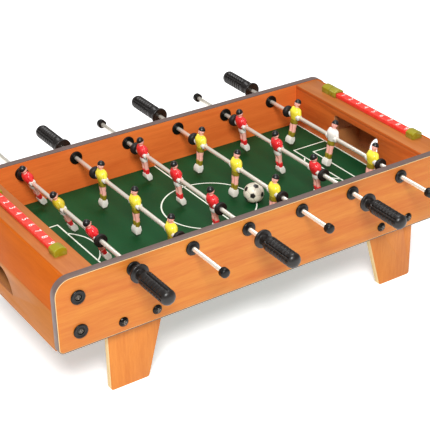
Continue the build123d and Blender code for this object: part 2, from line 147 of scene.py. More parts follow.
def make_wood_grain():
    """Printed beech grain. The vector comes in stretched, with the grain along its first axis."""
    tree, given, result = new_group(
        "wood_grain",
        [("Vector", "vector", None), ("Light", "colour", None), ("Dark", "colour", None),
         ("Contrast", "value", 1.0)],
        [("Colour", "colour"), ("Height", "value")],
    )
    vector = given.outputs["Vector"]
    broad = add_noise(tree, vector, 1.0, 3.0, 0.5, 0.9)
    streak = add_noise(tree, vector, 4.2, 5.0, 0.62, 0.35)
    fibre = add_noise(tree, vector, 19.0, 3.0, 0.6)
    figure = add_math(tree, "ADD", add_math(tree, "MULTIPLY", broad, 0.5),
                      add_math(tree, "MULTIPLY", streak, 0.5))
    shade = add_range(tree, figure, 0.38, 0.62)
    fine = add_range(tree, fibre, 0.35, 0.65)
    total = add_math(tree, "ADD", add_math(tree, "MULTIPLY", shade, 0.75),
                     add_math(tree, "MULTIPLY", fine, 0.25))
    share = add_math(tree, "MULTIPLY", total, given.outputs["Contrast"])
    tree.links.new(add_mix(tree, share, given.outputs["Light"], given.outputs["Dark"]),
                   result.inputs["Colour"])
    tree.links.new(fine, result.inputs["Height"])
    return tree


def make_handling():
    """Faint smears and a fine moulded or lacquered skin."""
    tree, given, result = new_group(
        "handling",
        [("Vector", "vector", None), ("Colour", "colour", None), ("Tint", "colour", None),
         ("Tint share", "value", 0.2), ("Smooth", "value", 0.3), ("Rough", "value", 0.5),
         ("Patch scale", "value", 40.0)],
        [("Colour", "colour"), ("Roughness", "value"), ("Height", "value")],
    )
    vector = given.outputs["Vector"]
    patch = tree.nodes.new("ShaderNodeTexNoise")
    patch.inputs["Detail"].default_value = 5.0
    patch.inputs["Roughness"].default_value = 0.6
    tree.links.new(vector, patch.inputs["Vector"])
    tree.links.new(given.outputs["Patch scale"], patch.inputs["Scale"])
    smear = add_range(tree, patch.outputs["Fac"], 0.35, 0.68)
    grit = add_noise(tree, vector, 1400.0, 2.0)
    tint = add_math(tree, "MULTIPLY", smear, given.outputs["Tint share"])
    tree.links.new(add_mix(tree, tint, given.outputs["Colour"], given.outputs["Tint"]),
                   result.inputs["Colour"])
    tree.links.new(add_range(tree, smear, 0.0, 1.0, given.outputs["Smooth"], given.outputs["Rough"]),
                   result.inputs["Roughness"])
    tree.links.new(grit, result.inputs["Height"])
    return tree


def make_edge_wear():
    """Lighter colour on the outward edges, partly rubbed wear and partly a painted highlight."""
    tree, given, result = new_group(
        "edge_wear_and_highlight",
        [("Vector", "vector", None), ("Colour", "colour", None), ("Rubbed", "colour", None),
         ("Amount", "value", 0.5)],
        [("Colour", "colour")],
    )
    form = tree.nodes.new("ShaderNodeNewGeometry")
    # pointiness picks the outward edges, where the lighter colour stands for wear and a painted
    # highlight
    edge = add_range(tree, form.outputs["Pointiness"], 0.52, 0.62)
    broken = add_range(tree, add_noise(tree, given.outputs["Vector"], 180.0), 0.4, 0.6)
    share = add_math(tree, "MULTIPLY", add_math(tree, "MULTIPLY", edge, broken), given.outputs["Amount"])
    tree.links.new(add_mix(tree, share, given.outputs["Colour"], given.outputs["Rubbed"]),
                   result.inputs["Colour"])
    return tree


WOOD_GRAIN = make_wood_grain()
HANDLING = make_handling()
EDGE_WEAR_AND_HIGHLIGHT = make_edge_wear()


# ---------------------------------------------------------------- finishes
class Finish:
    """A material with its Principled shader and the nodes most finishes share."""

    def __init__(self, name):
        self.material = bpy.data.materials.new(name)
        self.material.use_nodes = True
        self.tree = self.material.node_tree
        self.shader = self.tree.nodes["Principled BSDF"]
        self.place = self.tree.nodes.new("ShaderNodeTexCoord").outputs["Object"]

    def stretched(self, scale):
        node = self.tree.nodes.new("ShaderNodeMapping")
        node.inputs["Scale"].default_value = scale
        self.tree.links.new(self.place, node.inputs["Vector"])
        return node.outputs["Vector"]

    def group(self, tree, **values):
        node = self.tree.nodes.new("ShaderNodeGroup")
        node.node_tree = tree
        for key, value in values.items():
            socket = node.inputs[key.replace("_", " ")]
            if isinstance(value, (float, tuple)):
                socket.default_value = value
            else:
                self.tree.links.new(value, socket)
        return node.outputs

    def set(self, **values):
        for key, value in values.items():
            socket = self.shader.inputs[key.replace("_", " ")]
            if isinstance(value, (float, tuple)):
                socket.default_value = value
            else:
                self.tree.links.new(value, socket)

    def bump(self, height, strength, depth):
        node = self.tree.nodes.new("ShaderNodeBump")
        node.inputs["Strength"].default_value = strength
        node.inputs["Distance"].default_value = depth
        self.tree.links.new(height, node.inputs["Height"])
        self.tree.links.new(node.outputs["Normal"], self.shader.inputs["Normal"])


def foil(name, light, dark, scale, contrast=1.0, shine=0.22):
    """Wood-print foil on board, with the grain along the axis of the smallest scale."""
    look = Finish(name)
    wood = look.group(WOOD_GRAIN, Vector=look.stretched(scale), Light=paint(light),
                      Dark=paint(dark), Contrast=contrast)
    skin = look.group(HANDLING, Vector=look.place, Colour=wood["Colour"], Tint=paint(dark),
                      Tint_share=0.1, Smooth=0.34, Rough=0.48, Patch_scale=14.0)
    look.set(Base_Color=skin["Colour"], Roughness=skin["Roughness"], Specular_IOR_Level=shine)
    look.bump(wood["Height"], 0.12, 0.0002)
    return look.material


def moulded(name, colour, tint, smooth, rough, wear_and_highlight=None, amount=0.4, coat=0.0, grain=0.05,
            patches=60.0, share=0.25, sheen_level=0.5):
    """Moulded or painted plastic with a fine skin, faint smears and lighter edges of rubbed wear and
    painted highlight.
    """
    look = Finish(name)
    skin = look.group(HANDLING, Vector=look.place, Colour=paint(colour), Tint=paint(tint),
                      Tint_share=share, Smooth=smooth, Rough=rough, Patch_scale=patches)
    shown = skin["Colour"]
    if wear_and_highlight:
        shown = look.group(EDGE_WEAR_AND_HIGHLIGHT, Vector=look.place, Colour=shown, Rubbed=paint(wear_and_highlight),
                           Amount=amount)["Colour"]
    look.set(Base_Color=shown, Roughness=skin["Roughness"], Coat_Weight=coat,
             Coat_Roughness=0.12, Specular_IOR_Level=sheen_level)
    look.bump(skin["Height"], grain, 0.0001)
    return look.material


def metal(name, colour, tint, smooth, rough, scale=(300.0, 6.0, 300.0), metallic=1.0):
    """Plated or drawn metal with fine lines along it."""
    look = Finish(name)
    skin = look.group(HANDLING, Vector=look.place, Colour=paint(colour), Tint=paint(tint),
                      Tint_share=0.35, Smooth=smooth, Rough=rough, Patch_scale=30.0)
    lines = add_noise(look.tree, look.stretched(scale), 1.0, 3.0)
    look.set(Base_Color=skin["Colour"], Roughness=skin["Roughness"], Metallic=metallic)
    look.bump(lines, 0.015, 0.0001)
    return look.material


def raw_board(name, light, dark):
    """Cut fibreboard: even, matt and slightly speckled."""
    look = Finish(name)
    speck = add_noise(look.tree, look.place, 900.0, 3.0, 0.7)
    cloud = add_noise(look.tree, look.place, 30.0, 4.0)
    mixed = add_mix(look.tree, add_range(look.tree, speck, 0.3, 0.7), paint(light), paint(dark))
    shown = add_mix(look.tree, add_range(look.tree, cloud, 0.3, 0.8, 0.0, 0.5), mixed, paint(dark))
    look.set(Base_Color=shown, Roughness=0.85)
    look.bump(speck, 0.25, 0.0003)
    return look.material


def lacquered_field():
    """Printed green board under gloss lacquer."""
    look = Finish("lacquered_green")
    skin = look.group(HANDLING, Vector=look.place, Colour=paint("#053D1B"), Tint=paint("#0A4A23"),
                      Tint_share=0.9, Smooth=0.5, Rough=0.62, Patch_scale=9.0)
    flecks = add_noise(look.tree, look.place, 700.0, 2.0)
    shown = add_mix(look.tree, add_range(look.tree, flecks, 0.45, 0.75, 0.0, 0.25), skin["Colour"],
                    paint("#0B2A15"))
    look.set(Base_Color=shown, Roughness=skin["Roughness"], Specular_IOR_Level=0.2)
    look.bump(flecks, 0.03, 0.0001)
    return look.material


ALONG = (2.2, 30.0, 30.0)
UPRIGHT = (46.0, 46.0, 5.0)
ACROSS = (26.0, 2.4, 26.0)

orange_foil = foil("orange_foil", "#C27C31", "#B05A1F", ALONG, 0.95)
# the inside faces' foil is the same print as orange_foil, made brighter as painted light against the
# shade inside the case
inner_foil_painted_light = foil("inner_foil_painted_light", "#F2823A", "#DA662A", ALONG, 0.9)
leg_foil = foil("leg_foil", "#C97D34", "#B86826", UPRIGHT)
ledge_foil = foil("ledge_foil", "#B86F37", "#A45B28", ACROSS)
goal_foil = foil("goal_foil", "#DC702E", "#BE5622", ACROSS)
# slanting and end boards carry one foil: a deeper copy on the slant as painted shade, a paler copy on
# the end as painted light
slant_foil_painted_shade = foil("slant_foil_painted_shade", "#BA5B11", "#A84E0C", ACROSS, shine=0.05)
end_foil_painted_light = foil("end_foil_painted_light", "#B66E2C", "#A46122", ACROSS, shine=0.06)
cut_board = raw_board("cut_board", "#E4CC9A", "#D4B47C")
goal_board = raw_board("goal_board", "#BD7B47", "#935730")
trough_board = raw_board("trough_board", "#BE7F43", "#9C602E")
# the sixth argument of moulded() is a lighter edge colour that stands for rubbed wear and a painted
# highlight
band_plastic = moulded("band_plastic", "#685550", "#584640", 0.34, 0.46, "#8C7870", 0.3, sheen_level=0.3)
green_field = lacquered_field()
line_paint = moulded("line_paint", "#EEF2E4", "#D6DECC", 0.25, 0.4, patches=30.0)
black_plastic = moulded("black_plastic", "#0B0A09", "#141110", 0.26, 0.42, "#2C2825", 0.3,
                        sheen_level=0.28)
grip_plastic = moulded("grip_plastic", "#14100E", "#211A17", 0.3, 0.46, "#4A403A", 0.35,
                       sheen_level=0.4)
stop_rubber = moulded("stop_rubber", "#171311", "#241E1B", 0.42, 0.6, grain=0.15, sheen_level=0.3)
rod_metal = metal("rod_metal", "#F1EADC", "#E4DBCC", 0.26, 0.38, (400.0, 1.0, 400.0), 0.6)
screw_metal = metal("screw_metal", "#4A453F", "#34302C", 0.26, 0.42)
# lighter finish for the cross recesses: a painted highlight
cross_painted_highlight = metal("cross_painted_highlight", "#8F8981", "#6B665F", 0.24, 0.4)
plated_metal = metal("plated_metal", "#B9B4AC", "#8D8780", 0.22, 0.38)
dark_metal = metal("dark_metal", "#2A2826", "#3A3734", 0.22, 0.36)
rail_red = moulded("rail_red", "#F0342A", "#DC2820", 0.34, 0.48, "#FF8A7C", 0.4, sheen_level=0.35)
digit_white = moulded("digit_white", "#FFE2DA", "#F6CFC4", 0.4, 0.55)
olive_plastic = moulded("olive_plastic", "#91860C", "#9E941A", 0.26, 0.42, "#C8C67A", 0.4, coat=0.2,
                        sheen_level=0.35)
ball_white = moulded("ball_white", "#E6DFCC", "#CFC6B0", 0.3, 0.48, patches=90.0)
ball_black = moulded("ball_black", "#1C1B1A", "#2E2C2A", 0.3, 0.45)
ball_seam = moulded("ball_seam", "#B9B3A2", "#9A9484", 0.5, 0.6)
skin_paint = moulded("skin_paint", "#FFBCAC", "#F4A494", 0.25, 0.4, "#FFD2C6", 0.3, coat=0.2)
hair_paint = moulded("hair_paint", "#0E0D0D", "#1A1817", 0.3, 0.45, "#3C3836", 0.3)
eye_paint = moulded("eye_paint", "#241A18", "#35241F", 0.2, 0.3)
lip_paint = moulded("lip_paint", "#C4574A", "#B44A3E", 0.3, 0.4)
red_shirt = moulded("red_shirt", "#E8222A", "#CF1820", 0.22, 0.38, "#FF7A70", 0.4, coat=0.25)
yellow_shirt = moulded("yellow_shirt", "#F6E63A", "#EAD41E", 0.22, 0.38, "#FFF6A0", 0.4, coat=0.25)
keeper_shirt = moulded("keeper_shirt", "#CDB822", "#B49E12", 0.22, 0.38, "#EFE08A", 0.4, coat=0.25)
white_kit = moulded("white_kit", "#F2EDE6", "#DED6CC", 0.26, 0.42, "#FFFFFF", 0.4, coat=0.15)
olive_kit = moulded("olive_kit", "#8A7A12", "#76680C", 0.26, 0.42, "#B8AA50", 0.4, coat=0.15)
boot_paint = moulded("boot_paint", "#E6E4DA", "#CFCCBE", 0.28, 0.46, "#FFFFFF", 0.4)


# ---------------------------------------------------------------- making shapes
def place(name, shape, finishes, body, stands_for=(), sharp=38):
    """Turn a finished shape into a piece that rides on a body."""
    bmesh.ops.transform(shape, matrix=TO_METRES, verts=shape.verts)
    mesh = bpy.data.meshes.new(name)
    shape.to_mesh(mesh)
    shape.free()
    for finish in finishes:
        mesh.materials.append(finish)
    mesh.shade_smooth()
    mesh.set_sharp_from_angle(angle=radians(sharp))
    piece = bpy.data.objects.new(name, mesh)
    bpy.context.scene.collection.objects.link(piece)
    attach(piece, body)
    if stands_for:
        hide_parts(*stands_for)
    return piece


def finish_node(node, finish):
    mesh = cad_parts[node].data
    mesh.materials.clear()
    mesh.materials.append(finish)


def join(whole, part, finish=None, at=None):
    """Close a small shape, give it one finish and add it to a bigger one."""
    bmesh.ops.remove_doubles(part, verts=part.verts, dist=0.002)
    bmesh.ops.recalc_face_normals(part, faces=part.faces)
    if at is not None:
        bmesh.ops.transform(part, matrix=at, verts=part.verts)
    if finish is not None:
        for face in part.faces:
            face.material_index = finish
    scrap = bpy.data.meshes.new("scrap")
    part.to_mesh(scrap)
    part.free()
    whole.from_mesh(scrap)
    bpy.data.meshes.remove(scrap)


def welded_copy(node):
    """A welded copy of a CAD part, in millimetres."""
    shape = bmesh.new()
    shape.from_mesh(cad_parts[node].data)
    bmesh.ops.transform(shape, matrix=TO_MILLIMETRES, verts=shape.verts)
    bmesh.ops.remove_doubles(shape, verts=shape.verts, dist=0.002)
    bmesh.ops.dissolve_limit(shape, angle_limit=radians(1), verts=shape.verts, edges=shape.edges)
    return shape


def eased_copy(node, width, segments=2):
    """A welded copy of a CAD part with its sharp edges eased."""
    shape = welded_copy(node)
    ease_edges(shape, width, segments)
    return shape


def ease_edges(shape, width, segments=2, above=30, where=lambda edge: True):
    sharp = [e for e in shape.edges
             if e.is_manifold and e.calc_face_angle(0) > radians(above) and where(e)]
    bmesh.ops.bevel(shape, geom=sharp, offset=width, offset_type="OFFSET", segments=segments,
                    profile=0.5, affect="EDGES", material=-1, clamp_overlap=True)


def block(low, high):
    """A box between two corners."""
    low, high = Vector(low), Vector(high)
    shape = bmesh.new()
    size = Matrix.Diagonal((*(high - low), 1))
    bmesh.ops.create_cube(shape, size=1, matrix=Matrix.Translation((low + high) / 2) @ size)
    return shape


def lathe(outline, steps=48):
    """Turn an outline of (distance along Y, radius) pairs about the Y axis."""
    shape = bmesh.new()
    points = [shape.verts.new((radius, along, 0)) for along, radius in outline]
    lines = [shape.edges.new(pair) for pair in zip(points, points[1:])]
    bmesh.ops.spin(shape, geom=points + lines, cent=(0, 0, 0), axis=(0, 1, 0), angle=2 * pi,
                   steps=steps, use_merge=True, use_duplicate=False)
    return shape


def prism(outline, low, high):
    """A flat outline in X and Z carried from one Y to another."""
    shape = bmesh.new()
    face = shape.faces.new([shape.verts.new((x, low, z)) for x, z in outline])
    grown = bmesh.ops.extrude_face_region(shape, geom=[face])["geom"]
    moved = [part for part in grown if isinstance(part, bmesh.types.BMVert)]
    bmesh.ops.translate(shape, verts=moved, vec=(0, high - low, 0))
    return shape


def egg(size, centre, across=16, up=10):
    """A ball drawn out to the given half sizes."""
    shape = bmesh.new()
    bmesh.ops.create_uvsphere(shape, u_segments=across, v_segments=up, radius=1,
                              matrix=Matrix.Translation(centre) @ Matrix.Diagonal((*size, 1)))
    return shape


def column(rings, corners=16, boxiness=0.75):
    """Skin over oval rings of (height, half depth, half width, forward), closed at both ends."""
    shape = bmesh.new()
    height, depth, width, forward = rings[0]
    start = bmesh.ops.create_circle(shape, cap_ends=True, segments=corners, radius=1)["verts"]
    for corner in start:
        corner.co.x = depth * abs(corner.co.x) ** boxiness * (1 if corner.co.x > 0 else -1) + forward
        corner.co.y = width * abs(corner.co.y) ** boxiness * (1 if corner.co.y > 0 else -1)
        corner.co.z = height
    rim = list(shape.edges)
    for ring in rings[1:]:
        grown = bmesh.ops.extrude_edge_only(shape, edges=rim)["geom"]
        corners_up = [part for part in grown if isinstance(part, bmesh.types.BMVert)]
        rim = [part for part in grown if isinstance(part, bmesh.types.BMEdge)
               and all(end in corners_up for end in part.verts)]
        size = Matrix.Diagonal((ring[1] / depth, ring[2] / width, 1, 1))
        middle = Matrix.Translation((forward, 0, height))
        move = Matrix.Translation((ring[3], 0, ring[0])) @ size @ middle.inverted()
        bmesh.ops.transform(shape, matrix=move, verts=corners_up)
        height, depth, width, forward = ring
    bmesh.ops.contextual_create(shape, geom=rim)
    return shape


# ---------------------------------------------------------------- case
FACE_Y = span("rear_edge_band")[1].y
FIELD_Z = span("playfield")[1].z
GOAL_X = span("playfield")[1].x
WASHER_X = (-310, 310)
WASHER_Z = (122, 174)
BOLT_X = (194.9, 246.8)
BOLT_Z = 112
RIM_REACH = 9
HOLE_REACH = 8


def on_rim(edge, low, high):
    """Whether an edge runs round the outside of a long side's face."""
    middle = (edge.verts[0].co + edge.verts[1].co) / 2
    inset = min(middle.x - low.x, high.x - middle.x, middle.z - low.z, high.z - middle.z)
    at_hole = any((middle.xz - Vector((x, z))).length < HOLE_REACH for x in WASHER_X for z in WASHER_Z)
    return inset < RIM_REACH and abs(abs(middle.y) - FACE_Y) < 0.1 and not at_hole


def make_side_panels():
    """Long sides: wood-print foil on both faces, the inside faces in a brighter copy of the foil as
    painted light against the shade inside the case, with a pale chamfer inside the edge band.
    """
    for side, name in ((-1, "front"), (1, "rear")):
        node = f"{name}_side_panel"
        shape = welded_copy(node)
        corners = span(node)
        ease_edges(shape, 0.9, 2, where=lambda edge: on_rim(edge, *corners))
        for face in shape.faces:
            outward = face.normal.y * side
            # inward faces take the brighter copy of the foil: painted light
            face.material_index = 0 if outward > 0.99 else 1 if outward < -0.99 else 2
        place(f"{name}_panel_board", shape, [orange_foil, inner_foil_painted_light, cut_board], "table", [node])
        band = eased_copy(f"{name}_edge_band", 0.25)
        place(f"{name}_banding", band, [band_plastic], "table", [f"{name}_edge_band"])


def face_finish(shape, rule):
    for face in shape.faces:
        face.material_index = rule(face.normal, face.calc_center_median())


def make_ends():
    """Ledges, slanting boards, goal walls and end boards at both ends."""
    for end, name in ((-1, "left"), (1, "right")):
        ledge = eased_copy(f"{name}_ledge", 0.5)
        face_finish(ledge, lambda normal, centre: 0 if normal.z > 0.2 else 1)
        place(f"{name}_ledge_board", ledge, [ledge_foil, goal_foil], "table", [f"{name}_ledge"])
        # slant in the deeper copy of the end foil: painted shade
        slant = eased_copy(f"{name}_slant_board", 0.5)
        place(f"{name}_slant", slant, [slant_foil_painted_shade], "table", [f"{name}_slant_board"])
        wall = eased_copy(f"{name}_goal_wall", 0.4)
        face_finish(wall, lambda normal, centre: goal_face(normal, centre, end))
        place(f"{name}_goal_front", wall, [goal_foil, goal_board, cut_board], "table",
              [f"{name}_goal_wall"])
        # end board in the paler copy of the slant foil: painted light
        outer = eased_copy(f"{name}_end_board", 0.3)
        face_finish(outer, lambda normal, centre: 0 if normal.x * end > 0.9 else 1)
        place(f"{name}_end_panel", outer, [end_foil_painted_light, goal_board], "table", [f"{name}_end_board"])


def goal_face(normal, centre, end):
    """Foil on the side that faces the field, bare board in the opening and behind."""
    if normal.x * -end > 0.9:
        return 0
    if abs(normal.x) > 0.2 and abs(centre.y) < 60 and centre.z < 192:
        return 2
    return 1


def make_legs():
    for side in ("front", "rear"):
        for end in ("left", "right"):
            leg = eased_copy(f"{side}_{end}_leg", 0.35)
            face_finish(leg, lambda normal, centre: 0 if abs(normal.y) > 0.9 else 1)
            place(f"{side}_{end}_leg_board", leg, [leg_foil, cut_board], "table",
                  [f"{side}_{end}_leg"])


LINE_WIDTH = 2.2
PAINT_SUNK = 0.05
PAINT_PROUD = 0.12
CENTRE_RING_R = 72
# distance of a box's front line from the middle, and half its width
GOAL_BOXES = ((215, 78), (238, 56))
# the arc outside the bigger box
SPOT_X = 259
SPOT_ARC_R = 64
SPOT_TO_BOX = 44


def add_arc(whole, centre, radius, start, sweep, steps):
    """A flat curved stripe on the field."""
    shape = bmesh.new()
    low, high = FIELD_Z - PAINT_SUNK, FIELD_Z + PAINT_PROUD
    inner, outer = radius - LINE_WIDTH / 2, radius + LINE_WIDTH / 2
    corners = [(inner, low), (outer, low), (outer, high), (inner, high)]
    points = [shape.verts.new((across, 0, z)) for across, z in corners]
    section = shape.faces.new(points)
    full = abs(sweep) >= 360
    bmesh.ops.rotate(shape, verts=shape.verts, cent=(0, 0, 0),
                     matrix=Matrix.Rotation(radians(start), 3, "Z"))
    geometry = [section, *section.edges, *section.verts]
    bmesh.ops.spin(shape, geom=geometry, cent=(0, 0, 0), axis=(0, 0, 1), angle=radians(sweep),
                   steps=steps, use_merge=full, use_duplicate=False)
    if full:
        # a full turn leaves its starting section inside the ring
        inside = [face for face in shape.faces if abs(face.normal.z) < 0.1
                  and abs(face.normal.dot(face.calc_center_median().normalized())) < 0.5]
        bmesh.ops.delete(shape, geom=inside, context="FACES_ONLY")
    join(whole, shape, 0, Matrix.Translation((*centre, 0)))


def add_stripe(whole, low, high):
    shape = block((*low, FIELD_Z - PAINT_SUNK), (*high, FIELD_Z + PAINT_PROUD))
    ease_edges(shape, 0.04, 1)
    join(whole, shape, 0)


def make_field():
    """Green board with its printed lines."""
    finish_node("playfield", green_field)
    lines = bmesh.new()
    half = LINE_WIDTH / 2
    edge = abs(span("front_side_panel")[1].y) - 0.3
    add_stripe(lines, (-half, -edge), (half, edge))
    add_arc(lines, (0, 0), CENTRE_RING_R, 0, 360, 96)
    for end in (-1, 1):
        for depth, reach in GOAL_BOXES:
            near, far = sorted((end * (depth - half), end * (depth + half)))
            add_stripe(lines, (near, -reach), (far, reach))
            near, far = sorted((end * (depth + half), end * (GOAL_X - 1.6)))
            for way in (-1, 1):
                low, high = sorted((way * (reach - LINE_WIDTH), way * reach))
                add_stripe(lines, (near, low), (far, high))
        near, far = sorted((end * (GOAL_X - 2.4), end * (GOAL_X - 0.4)))
        add_stripe(lines, (near, -edge), (far, edge))
        opening = degrees(acos(SPOT_TO_BOX / SPOT_ARC_R))
        middle = 180 if end > 0 else 0
        add_arc(lines, (end * SPOT_X, 0), SPOT_ARC_R, middle - opening, 2 * opening, 40)
    place("field_lines", lines, [line_paint], "table")
    finish_node("ball_troughs", trough_board)
    finish_node("corner_blocks", trough_board)


# ---------------------------------------------------------------- fasteners and bushings
def dish_cross(shape, front, reach, depth, half_slot):
    """Press a cross recess into the front of a turned head, its faces in the lighter second finish as a
    painted highlight.
    """
    pressed = set()
    for corner in shape.verts:
        off = max(abs(corner.co.x), abs(corner.co.z))
        slot = min(abs(corner.co.x), abs(corner.co.z))
        if corner.co.y > front and off < reach and slot < half_slot:
            corner.co.y -= depth
            pressed.add(corner)
    # faces in the recess take the lighter finish: painted highlight
    for face in shape.faces:
        face.material_index = 1 if any(corner in pressed for corner in face.verts) else 0


def facing(x, z, side, y=0.0):
    """Carries a part turned about +Y to a place on a long side, looking outward."""
    turn = Matrix.Identity(4) if side > 0 else Matrix.Rotation(pi, 4, "Z")
    return Matrix.Translation((x, y, z)) @ turn


def make_fasteners():
    washers, screws, bolts = bmesh.new(), bmesh.new(), bmesh.new()
    face = FACE_Y
    for side in (-1, 1):
        for x in WASHER_X:
            for z in WASHER_Z:
                dish = lathe([(face, 4.6), (face, 10.2), (face + 0.6, 10.5), (face + 1.6, 10.45),
                              (face + 2.3, 9.9), (face + 2.6, 9.0), (face + 2.5, 8.0),
                              (face + 2.0, 7.2), (face + 1.9, 6.3), (face + 2.3, 5.6),
                              (face + 2.2, 4.9), (face + 1.6, 4.6), (face, 4.6)], 48)
                join(washers, dish, 0, facing(x, z, side))
                head = lathe([(face - 14, 0), (face - 14, 2.0), (face + 0.2, 2.0), (face + 0.2, 4.3),
                              (face + 0.9, 4.4), (face + 1.4, 3.9), (face + 1.65, 3.1),
                              (face + 1.78, 2.3), (face + 1.8, 1.6), (face + 1.8, 0.9),
                              (face + 1.8, 0.0)], 32)
                dish_cross(head, face + 1.5, 2.6, 1.0, 0.55)
                join(screws, head, None, facing(x, z, side))
        for end in (-1, 1):
            for x in BOLT_X:
                dome = lathe([(face - 27, 0), (face - 27, 2.9), (face, 2.9), (face, 7.0),
                              (face + 0.4, 7.25), (face + 1.2, 6.9), (face + 2.2, 6.0),
                              (face + 3.0, 4.8), (face + 3.6, 3.4), (face + 3.9, 2.2),
                              (face + 3.98, 1.1), (face + 4.0, 0)], 40)
                dish_cross(dome, face + 3.2, 2.6, 0.9, 0.62)
                join(bolts, dome, None, facing(end * x, BOLT_Z, side))
    place("washer_dishes", washers, [black_plastic], "table", ["corner_washers"])
    place("cross_screws", screws, [screw_metal, cross_painted_highlight], "table", ["corner_screws"])
    place("domed_bolts", bolts, [dark_metal, cross_painted_highlight], "table", ["leg_bolts"])
    finish_node("leg_nuts", plated_metal)


def make_bushings():
    collars, nuts = bmesh.new(), bmesh.new()
    face, inner = FACE_Y, FACE_Y - 13.55
    for side in (-1, 1):
        for number in range(1, 7):
            tube_low, tube_high = span(f"rod_{number}_tube")
            middle = (tube_low + tube_high) / 2
            collar = lathe([(inner, 3.25), (inner, 5.8), (inner + 0.3, 6.0), (face, 6.0),
                            (face, 10.3), (face + 0.3, 10.5), (face + 1.7, 10.5), (face + 2.5, 10.1),
                            (face + 2.95, 9.2), (face + 3.0, 7.4), (face + 3.3, 6.5),
                            (face + 4.6, 6.3), (face + 4.95, 5.8), (face + 5.0, 4.4),
                            (face + 4.6, 3.6), (face + 4.0, 3.25)], 48)
            join(collars, collar, 0, facing(middle.x, middle.z, side))
            nut = lathe([(inner, 6.05), (inner, 9.6), (inner + 0.25, 10.0), (inner + 0.7, 10.2),
                         (inner + 2.35, 10.2), (inner + 2.35, 6.05)], 48)
            join(nuts, nut, 0, facing(middle.x, middle.z, side))
    place("rod_collars", collars, [black_plastic], "table", ["rod_bushings"])
    place("collar_nuts", nuts, [black_plastic], "table", ["bushing_nuts"])


# ---------------------------------------------------------------- scoring
RAIL_WIDTH = 12.0
DIGIT_SIZE = 12.0
DIGIT_RAISE = 0.12
FIRST_DIGIT_Y = 88.5
DIGIT_PITCH = 19.67


def add_digit(whole, text, centre, finish):
    """A printed digit lying on a rail, its top towards +X."""
    words = bpy.data.curves.new("digit", "FONT")
    words.body = text
    words.size = DIGIT_SIZE
    words.extrude = DIGIT_RAISE
    words.offset = 0.06
    words.align_x = "CENTER"
    words.align_y = "CENTER"
    holder = bpy.data.objects.new("digit", words)
    bpy.context.scene.collection.objects.link(holder)
    mesh = bpy.data.meshes.new_from_object(holder)
    bpy.data.objects.remove(holder)
    shape = bmesh.new()
    shape.from_mesh(mesh)
    bpy.data.meshes.remove(mesh)
    join(whole, shape, finish, Matrix.Translation(centre) @ Matrix.Rotation(-pi / 2, 4, "Z"))


def make_scoring():
    low, high = span("score_rails")
    half = RAIL_WIDTH / 2
    rails = bmesh.new()
    for x in (low.x + half, high.x - half):
        rail = block((x - half, low.y, low.z), (x + half, high.y, high.z))
        ease_edges(rail, 0.8, 3)
        join(rails, rail, 0)
        for number in range(10):
            add_digit(rails, str(number), (x, FIRST_DIGIT_Y - DIGIT_PITCH * number, high.z), 1)
    place("score_bars", rails, [rail_red, digit_white], "table", ["score_rails"])
    blocks = eased_copy("score_end_blocks", 0.9)
    place("score_stops", blocks, [olive_plastic], "table", ["score_end_blocks"])
    for end in ("left", "right"):
        slider = eased_copy(f"{end}_score_slider", 0.9)
        place(f"{end}_score_cursor", slider, [olive_plastic], f"{end}_score_marker",
              [f"{end}_score_slider"])


# ---------------------------------------------------------------- ball
def make_ball():
    """Twenty pale and twelve dark panels, each slightly pillowed, with seams between."""
    low, high = span("ball")
    centre, radius = (low + high) / 2, (high.x - low.x) / 2
    shape = bmesh.new()
    bmesh.ops.create_icosphere(shape, subdivisions=1, radius=radius)
    side = next(iter(shape.edges)).calc_length()
    bmesh.ops.bevel(shape, geom=list(shape.verts), offset=side / 3.35, offset_type="OFFSET",
                    segments=1, profile=0.5, affect="VERTICES", material=-1, clamp_overlap=False)
    for face in shape.faces:
        face.material_index = 1 if len(face.verts) == 5 else 0
    panels = list(shape.faces)
    rims = bmesh.ops.inset_individual(shape, faces=panels, thickness=0.32, use_even_offset=True)["faces"]
    seams = set(rims)
    for face in seams:
        face.material_index = 2
    inside = [face for face in shape.faces if face not in seams]
    bmesh.ops.poke(shape, faces=inside)
    bmesh.ops.subdivide_edges(shape, edges=shape.edges, cuts=3, use_grid_fill=True)
    for corner in shape.verts:
        deep = any(face.material_index == 2 for face in corner.link_faces)
        corner.co = corner.co.normalized() * (radius - (0.22 if deep else 0.0))
    bmesh.ops.rotate(shape, verts=shape.verts, cent=(0, 0, 0),
                     matrix=Matrix.Rotation(radians(24), 3, "X") @ Matrix.Rotation(radians(8), 3, "Z"))
    bmesh.ops.translate(shape, verts=shape.verts, vec=centre)
    bmesh.ops.recalc_face_normals(shape, faces=shape.faces)
    place("match_ball", shape, [ball_white, ball_black, ball_seam], "loose_ball", ["ball"],
          60)


# ---------------------------------------------------------------- players
MAN_PITCH = 98.5
FEET_TILT = {1: 23.0, 2: 0.0, 3: 8.5, 4: -6.5, 5: 8.5, 6: -13.0}
# shirt, shorts, socks
RED_KIT = (red_shirt, white_kit, red_shirt)
YELLOW_KIT = (yellow_shirt, olive_kit, olive_kit)
LEFT_KEEPER_KIT = (keeper_shirt, white_kit, red_shirt)
RIGHT_KEEPER_KIT = (white_kit, olive_kit, olive_kit)
SKIN, HAIR, EYES, LIPS, CUFFS, BOOTS, SHIRT, SHORTS, SOCKS = range(9)
COMMON_PAINTS = [skin_paint, hair_paint, eye_paint, lip_paint, white_kit, boot_paint]


